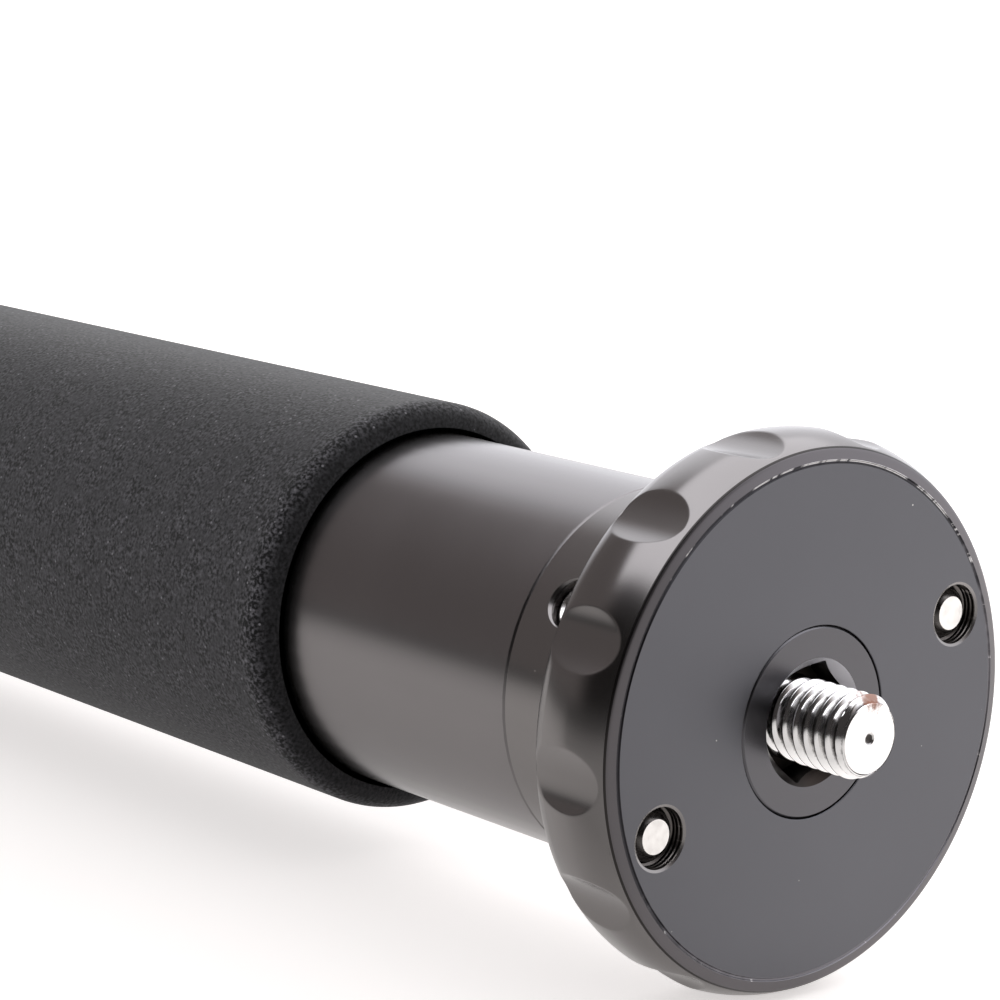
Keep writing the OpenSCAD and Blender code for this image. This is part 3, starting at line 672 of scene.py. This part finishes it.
# Painted shade: the dark colour of the threads down in the holes.
painted_thread_shade = plated("steel_thread_painted_shade", "#5E5B59", 0.22, 0.2)
scuffed_point = plated("scuffed_zinc_plated_point", "#FAF7F3", 0.38, 0.3)
for node, half_turn in (("head_lock_screw_a", 0), ("head_lock_screw_b", 180)):
    screw = threaded(f"flat_point_screw_{node[-1]}", lock_r, lock_pitch, 0.6 * lock_pitch, lock_end + 0.3,
                     -lock_set - 0.25, lambda x: np.minimum(lock_r, point_r + 0.1 - lock_set - x), 96, 20)
    point = turned("point", rounded([(-lock_set - 0.3, 0, 0), (-lock_set - 0.3, point_r + 0.3, 0),
                                     (-lock_set, point_r, 0.12), (-lock_set, 0, 0)], closed=False),
                   96, wrap=False)
    back = turned("back", rounded([(lock_end + key_depth, 0, 0), (lock_end + key_depth, key_r, 0),
                                   (lock_end, key_r, 0.1), (lock_end, lock_r - 0.4, 0),
                                   (lock_end + 0.4, lock_r - 0.1, 0), (lock_end + 0.4, 0, 0)], closed=False),
                  96, wrap=False)
    join(screw, [point, back])
    for finish in (scuffed_point, painted_thread_shade):
        screw.data.materials.append(finish)
    mark(screw, 1, lambda x, r: r > point_r - 0.02)
    screw.data.transform(lock_spot(half_turn))
    sharpen(screw, 35)
    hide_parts(node)
    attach(screw, f"lock_screw_{node[-1]}")


# Insert set screws
# Three M6 grub screws of zinc plated steel run radially through the collar into the insert's groove.
# Each is threaded all along and has a hexagonal socket with a wide lead-in in its outer end, which
# shows through the hole a little nearer to the surface than in the CAD.
set_r, set_recess, set_cone = 2.93, 1.15, 0.85
set_len = collar_r - set_recess - groove_r
key_phi = np.linspace(0, 2 * np.pi, 120, endpoint=False)
key_wall = key_r * math.cos(math.pi / 6) / np.cos(key_phi % (np.pi / 3) - np.pi / 6)
key_rows = [(set_len - key_depth - 0.5, 0), (set_len - key_depth - 0.5, 2.2), (set_len - 0.4, 2.2),
            (set_len - 0.3, set_r - 0.15), (set_len, set_r - 0.4)]
bright_zinc = plated("bright_zinc_plated_steel", "#F2F0EE", 0.2, 0.15)
screws = []
for i in range(set_count):
    bar = threaded("hex_socket_set_screws", set_r, 1.0, 0.6, 0.3, set_len - 0.35,
                   lambda x: np.minimum(set_r, set_r - 0.45 + set_len - x), 72, 16)
    nose = turned("nose", rounded([(0.3, 0, 0), (0.3, set_r - 0.65, 0), (0, set_r - 0.9, 0.1), (0, 0, 0)],
                                  closed=False), 72, wrap=False)
    rings = [about_pole(x, r, key_phi) for x, r in key_rows]
    rings += [about_pole(set_len - set_cone * share, 2.4 * (1 - share) + key_wall * share, key_phi)
              for share in (0, 0.3, 0.6, 0.9, 1)]
    rings += [about_pole(set_len - key_depth, key_wall * share, key_phi) for share in (1, 0)]
    head = skin("key_end", np.stack(rings), (False, True))
    join(bar, [nose, head])
    # The set screws' threads and the deep part of their sockets take the same painted shade.
    for finish in (bright_zinc, painted_thread_shade):
        bar.data.materials.append(finish)
    mark(bar, 1, lambda x, r: (r < key_r) & (x < set_len - 2) | (r > set_r - 0.7) & (x < set_len - 0.5))
    bar.data.transform(set_spot(i) @ Matrix.Translation((groove_r * MM, 0, 0)))
    screws.append(bar)
join(screws[0], screws[1:])
sharpen(screws[0], 35)
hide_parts("insert_set_screws")
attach(screws[0], "pole")


# Tubes
# Four drawn aluminium tubes, each sliding in the one above it. They are satin anodised in a warm
# grey, with the drawing lines barely felt along the tube.
satin_tube = anodised("satin_drawn_anodised_bronze", "#7D7A7A", 0.25, 0.2, 0.002, dust=0.03)
dress(["upper_tube", "second_tube", "third_tube", "foot_tube"], satin_tube)


# Foam grip
# A sleeve of closed-cell black foam stretched over the upper tube. Its skin is skived, so the cut
# cells show as a fine grain, and both ends are rounded over.
grip_r, grip_top, grip_end, grip_round = 25.8, 66.8, 328.8, 2.8
grip_inner = 22.12
grip_x = -np.linspace(grip_top + 6, grip_end - 6, 90)
grip_outline = rounded([(-grip_top, grip_inner, 0.5), (-grip_top, grip_r, grip_round),
                        *[(x, grip_r, 0) for x in grip_x],
                        (-grip_end, grip_r, grip_round), (-grip_end, grip_inner, 0.5)], step=math.radians(9))
grip = turned("foam_grip_sleeve", grip_outline, 256)


def foam(name, colour, speck, pore):
    """Closed-cell foam rubber, skived: dull and grainy, with cut cells a quarter of a millimetre wide, pale
    grains and dark pores between them. The skin is torn coarser where the end is rounded over, and the end
    face is painted darker as shade."""
    made, tree, place = material(name)
    torn_start, torn_full, end_shade_start, end_shade_full = (-(grip_top + d) * MM for d in (4.6, 2.4, 1.6, 0.3))
    torn_contrast, end_shade_level, darkest = 4.5, 0.4, 0.12
    grain = noise(tree, place, 0.42, 1.0)
    patch = noise(tree, place, 2.5, 2.0)
    along = add(tree, "SeparateXYZ", {"Vector": place}).outputs["X"]
    torn = ramp(tree, along, torn_start, torn_full)
    # Painted shade: the colour and its grain fall off over the grip's end face nearer the head.
    wall = ramp(tree, along, end_shade_start, end_shade_full, 1.0, end_shade_level)
    contrast = maths(tree, "MULTIPLY_ADD", torn, torn_contrast, ramp(tree, patch, 0.35, 0.65, 2.5, 7.0))
    contrast = maths(tree, "MULTIPLY", contrast, wall)
    level = maths(tree, "MULTIPLY_ADD", maths(tree, "SUBTRACT", grain, 0.5), contrast, 1.0)
    level = maths(tree, "MULTIPLY", maths(tree, "MAXIMUM", level, darkest), wall)
    base = tinted(tree, speckle(tree, place, 0.75, 0.2, 0.3), scaled(tree, colour, level), linear(pore))
    base = tinted(tree, speckle(tree, place, 1.15, 0.2, 0.4), base, linear(speck))
    surface(tree, Base_Color=base, Roughness=0.88, Sheen_Weight=0.25, Sheen_Roughness=0.5,
            Specular_IOR_Level=0.12, Normal=bumps(tree, grain, 0.05))
    return made


grip.data.materials.append(foam("skived_black_foam", "#3A393C", "#7D7B80", "#151517"))
sharpen(grip, 40)
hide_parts("foam_grip")
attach(grip, "pole")


# Twist locks
# Each lock is a ferrule bonded over a tube's end, a split collet on the next tube and a collar that
# screws over both. Ferrules and collars are turned and anodised black, collets are moulded.
black_anodised = anodised("satin_anodised_black", "#3F3E42", 0.34, 0.15, 0.002)


def moulded(name, colour, roughness, grain, depth):
    """Moulded plastic or rubber: an even colour with the faint grain of its mould, slightly uneven
    gloss, and no metal in it."""
    made, tree, place = material(name)
    wide_tint, wide_gloss = 0.15, 0.07
    wide = noise(tree, place, 11, 2.0)
    surface(tree, Base_Color=tinted(tree, wide, shade(colour, 1 - wide_tint), shade(colour, 1 + wide_tint)),
            Roughness=ramp(tree, wide, 0, 1, roughness - wide_gloss, roughness + wide_gloss),
            Specular_IOR_Level=0.45, Normal=bumps(tree, noise(tree, place, grain, 3.0), depth))
    return made


black_rubber = moulded("moulded_black_rubber", "#232326", 0.62, 0.25, 0.02)
black_nylon = moulded("moulded_black_nylon", "#26262A", 0.45, 0.3, 0.008)
white_acetal = moulded("moulded_white_acetal", "#D9D7D1", 0.4, 0.3, 0.006)
rib_count, rib_groove_r = 24, 1.1
rubber_t = 2.2
for i in (1, 2, 3):
    dress([f"ferrule_{i}", f"twist_collar_{i}"], black_anodised)
    dress([f"collet_{i}"], black_nylon)
    dress([f"wiper_seal_{i}"], black_rubber)
    low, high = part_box(f"collar_rubber_{i}")
    top, end, sleeve_r = high.x / MM, low.x / MM, high.z / MM
    inner_r = sleeve_r - rubber_t
    sleeve_x = np.concatenate([np.linspace(top - 1, top - 3, 9), np.linspace(top - 4, end + 4, 24),
                               np.linspace(end + 3, end + 1, 9)])
    outline = rounded([(top, inner_r, 0.1), (top, sleeve_r, 0.55), *[(x, sleeve_r, 0) for x in sleeve_x],
                       (end, sleeve_r, 0.55), (end, inner_r, 0.1)])
    phi = np.linspace(0, 2 * np.pi, rib_count * 16, endpoint=False)[None, :]
    across = abs((phi * rib_count / (2 * np.pi) + 0.5) % 1 - 0.5) * 2 * np.pi * sleeve_r / rib_count
    ends = np.clip(np.minimum(top - 1.5 - outline[:, :1], outline[:, :1] - end - 1.5), -1, rib_groove_r)
    reach = np.sqrt(np.clip(rib_groove_r**2 - (rib_groove_r - np.clip(ends, 0, None)) ** 2, 0, None))
    floor = sleeve_r + 0.27 - np.sqrt(np.clip(reach**2 - across**2, 0, None))
    radius = smooth_min(outline[:, 1:] + 0 * phi, floor, 0.15)
    sleeve = skin(f"ribbed_rubber_sleeve_{i}", about_pole(outline[:, :1], radius, phi))
    sleeve.data.materials.append(black_rubber)
    sharpen(sleeve, 40)
    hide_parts(f"collar_rubber_{i}")
    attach(sleeve, f"collar_{i}")


# Guide bushes
# Moulded acetal bushes on the tops of the three inner tubes, which run in the tube around them.
dress(["guide_bush_2", "guide_bush_3", "guide_bush_4"], white_acetal)


# Foot
# A turned plug bonded in the foot tube carries a threaded stem. The rubber foot screws on the stem by
# its moulded-in brass bush, and bares the steel spike when it is screwed up.
low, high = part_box("foot_plug")
plug_top, stem_end = high.x / MM, low.x / MM
rim_start, rim_end, plug_r, bore_r, tube_inner_r = -530.0, -533.0, 14.5, 3.53, 12.97
stem_r, stem_pitch = 6.0, 1.75
ring_start, ring_t, ring_groove_r = rim_end - 1.6, 1.6, 5.2
ring_end, end_r = ring_start - ring_t, 4.9
stem = threaded("threaded_foot_plug", stem_r, stem_pitch, 0.6 * stem_pitch, stem_end + 0.02, ring_end - 0.3,
                lambda x: np.minimum(stem_r, stem_r + (x - stem_end) - 1.0), 96, 20)
plug = turned("plug", rounded([(plug_top, bore_r, 0.1), (plug_top, tube_inner_r, 0.3),
                               (rim_start, tube_inner_r, 0), (rim_start, plug_r, 0.3), (rim_end, plug_r, 0.4),
                               (rim_end, stem_r - 0.1, 0), (ring_start, stem_r - 0.1, 0),
                               (ring_start, ring_groove_r, 0), (ring_end, ring_groove_r, 0),
                               (ring_end, stem_r - 0.7, 0.1), (stem_end, end_r, 0),
                               (stem_end, bore_r, 0.1)]), 128)
join(stem, [plug])
stem.data.materials.append(anodised("turned_clear_anodised_aluminium", "#C9C8C9", 0.28, 0.2, 0.003))
sharpen(stem, 35)
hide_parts("foot_plug")
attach(stem, "leg_4")
dress(["spike"], zinc_steel)
dress(["foot_o_ring"], black_rubber)


def brass(name):
    """Machined brass: warm and yellow, dulled a little by the rubber moulded round it."""
    made, tree, place = material(name)
    surface(tree, Base_Color=linear("#C9A65A"), Metallic=1.0,
            Roughness=ramp(tree, noise(tree, place, 2, 3.0), 0, 1, 0.25, 0.45))
    return made


dress(["foot_bush"], brass("machined_brass"))
low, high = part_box("rubber_foot")
foot_top, foot_end, foot_r = high.x / MM, low.x / MM, high.y / MM
bush_r, hole_r, sole_top, sole_round = 9.08, 4.25, -562.5, 6.0
foot_outline = rounded([(foot_top, bush_r, 0.1), (foot_top, plug_r, 1.2),
                        (stem_end + sole_round, foot_r, 4.0), (foot_end, foot_r, sole_round),
                        (foot_end, hole_r, 0.4), (sole_top, hole_r, 0.1), (sole_top, bush_r, 0.1)],
                       step=math.radians(7))
foot = turned("moulded_rubber_foot", foot_outline, 160)
foot.data.materials.append(black_rubber)
sharpen(foot, 40)
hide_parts("rubber_foot")
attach(foot, "foot")


# Studio
# A white table that the object lies on, a large soft light high on the far side, and a pale room that is dim
# on the camera's side. The background's white is for what the camera sees, not more light. In mirrors the
# table shows painted shade towards the camera's side and a faint painted glow near the object.
half_table, table_gap = 15.0, 0.0002
table_z = cad_box[0].z - table_gap
table_mesh = bpy.data.meshes.new("table")
table_mesh.from_pydata([(-half_table, -half_table, table_z), (half_table, -half_table, table_z),
                        (half_table, half_table, table_z), (-half_table, half_table, table_z)],
                       [], [(0, 1, 2, 3)])
table = bpy.data.objects.new("table", table_mesh)
scene.collection.objects.link(table)
table_paint, tree, place = material("matt_white_table")
paths = add(tree, "LightPath").outputs
far_away = add(tree, "VectorMath", {0: place}, operation="LENGTH").outputs["Value"]
fade = ramp(tree, far_away, 0.5, 1.5, 0.55, 1.0, eased=True)
# Painted shade and light in mirrors: seen in a glossy ray the table is darker towards the camera's side and
# away from the object, and near it glows a little over its shadow.
near = ramp(tree, add(tree, "SeparateXYZ", {"Vector": place}).outputs["Y"], -0.35, -0.05, 0.15, 1.0)
painted_reflection_falloff = ramp(tree, dot(tree, place, (0.66, -0.71, 0)), 0.005, 0.035, 1.0, 0.6)
near = maths(tree, "MULTIPLY", near, painted_reflection_falloff)
white_and_painted_glow = mixed(tree, paths["Is Camera Ray"], 0.0, fade)
white_and_painted_glow = mixed(tree, paths["Is Glossy Ray"], white_and_painted_glow, maths(tree, "MULTIPLY", near, 0.42))
painted_reflection_level = mixed(tree, paths["Is Glossy Ray"], 1.0, near)
surface(tree, Base_Color=scaled(tree, "#F3F0EF", painted_reflection_level), Roughness=0.9, Specular_IOR_Level=0.1,
        Emission_Color=linear("#FFFBFA"), Emission_Strength=white_and_painted_glow)
table_mesh.materials.append(table_paint)

softbox_data = bpy.data.lights.new("softbox", "AREA")
softbox_data.shape = "RECTANGLE"
softbox_data.size, softbox_data.size_y = 1.4, 0.7
softbox_data.energy = 12.5
softbox = bpy.data.objects.new("softbox", softbox_data)
softbox.location = (-0.2, 1.1, 0.68)
softbox.rotation_euler = (-Vector(softbox.location)).to_track_quat("-Z", "Y").to_euler()
softbox.visible_glossy = False
scene.collection.objects.link(softbox)


def between(tree, value, low, high, soft):
    """Mask that is one where the value lies between low and high, with edges that fade over soft."""
    up = ramp(tree, value, low - soft, low + soft, eased=True)
    return maths(tree, "MULTIPLY", up, ramp(tree, value, high + soft, high - soft, eased=True))


dim_room, bright_room, cloth_level, panel_level, plain_light, horizon = 0.3, 1.6, 0.12, 2.5, 0.68, 0.05
world = bpy.data.worlds.new("pale_room")
world.use_nodes = True
scene.world = world
tree = world.node_tree
tree.nodes.clear()
paths = add(tree, "LightPath").outputs
towards = add(tree, "TexCoord").outputs["Generated"]
axes = add(tree, "SeparateXYZ", {"Vector": towards}).outputs
far_side = ramp(tree, axes["Y"], -0.02, 0.37, dim_room, bright_room, eased=True)
cloth = ramp(tree, dot(tree, towards, camera_place.normalized()), 0.1, 0.58, 1.0, cloth_level, eased=True)
room = maths(tree, "MULTIPLY", far_side, cloth)
height = maths(tree, "MAXIMUM", axes["Z"], horizon)
across = between(tree, maths(tree, "DIVIDE", axes["X"], height), -0.8, 0.7, 0.08)
over = between(tree, maths(tree, "DIVIDE", axes["Y"], height), -0.9, 1.2, 0.1)
room = mixed(tree, maths(tree, "MULTIPLY", across, over), room, panel_level)
mirror = maths(tree, "ADD", paths["Is Glossy Ray"], paths["Is Transmission Ray"], clamp=True)
seen = mixed(tree, paths["Is Camera Ray"], mixed(tree, mirror, plain_light, room), 1.0)
tint = tinted(tree, ramp(tree, seen, 0.3, 1.0), linear("#FFF4F3"), linear("#FAFAFF"))
tint = tinted(tree, mirror, linear("#FFFFFF"), tint)
sky = add(tree, "Background", {"Color": tint, "Strength": seen})
add(tree, "OutputWorld", {"Surface": sky.outputs["Background"]})
